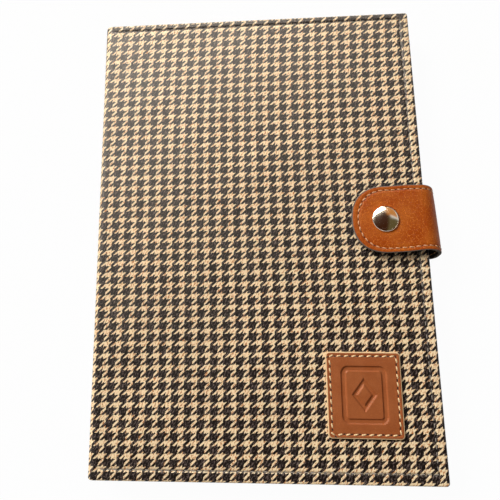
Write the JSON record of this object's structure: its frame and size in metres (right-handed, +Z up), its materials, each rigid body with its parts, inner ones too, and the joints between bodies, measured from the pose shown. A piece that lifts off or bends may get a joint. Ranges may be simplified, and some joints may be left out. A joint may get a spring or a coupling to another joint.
{
  "type": "prescription pad holder",
  "caption": "Closed folder in checked cloth with a snap strap round the fore-edge, inside pockets and a pen loop, for a prescription pad.",
  "frame": {"origin": "centre of the back cover's underside, on the plane that the closed holder lies on", "axes": "+X from the spine to the fore-edge and its strap, +Y from tail to head, +Z up through the front cover"},
  "size_m": [0.1736, 0.24, 0.0215],
  "materials": {
    "houndstooth_cloth": "coated woven cloth, dark brown and tan check",
    "greyboard": "matt",
    "lining_sheet": "fine grained lining, satin",
    "pocket_sheet": "fine grained lining, satin",
    "elastic": "ribbed elastic, matt",
    "strap_leather": "smooth finished leather, semi-gloss",
    "strap_lining": "split leather, matt",
    "patch_leather": "matt leather",
    "nickel": "polished nickel plate"
  },
  "bodies": {
    "back_cover": {"back_cloth": "houndstooth_cloth", "back_board": "greyboard", "back_lining": "lining_sheet", "pad_pocket": "pocket_sheet", "pen_loop": "elastic", "strap_root_leather": "strap_leather", "strap_root_lining": "strap_lining"},
    "spine": {"spine_cloth": "houndstooth_cloth", "spine_board": "greyboard", "spine_lining": "lining_sheet"},
    "front_cover": {"front_cloth": "houndstooth_cloth", "front_board": "greyboard", "front_lining": "lining_sheet", "slip_pocket": "pocket_sheet", "card_pocket_upper": "pocket_sheet", "card_pocket_middle": "pocket_sheet", "card_pocket_lower": "pocket_sheet", "patch": "patch_leather", "snap_stud": "nickel", "stud_rivet": "nickel"},
    "strap_side": {"strap_side_leather": "strap_leather", "strap_side_lining": "strap_lining"},
    "strap_tongue": {"strap_tongue_leather": "strap_leather", "strap_tongue_lining": "strap_lining", "snap_cap": "nickel", "snap_socket": "nickel", "snap_spring": "nickel"}
  },
  "joints": [
    {"name": "spine_fold", "type": "hinge", "parent": "back_cover", "child": "spine", "pos_m": [-0.08297, 0, 0.00103], "axis": [0, -1, 0], "range_deg": [0, 90]},
    {"name": "cover_open", "type": "hinge", "parent": "spine", "child": "front_cover", "pos_m": [-0.08297, 0, 0.01397], "axis": [0, -1, 0], "range_deg": [0, 90]},
    {"name": "strap_swing", "type": "hinge", "parent": "back_cover", "child": "strap_side", "pos_m": [0.08796, 0.0035, 0.00244], "axis": [0, 1, 0], "range_deg": [0, 90]},
    {"name": "tongue_lift", "type": "hinge", "parent": "strap_side", "child": "strap_tongue", "pos_m": [0.08755, 0.0035, 0.01735], "axis": [0, 1, 0], "range_deg": [0, 90]}
  ]
}
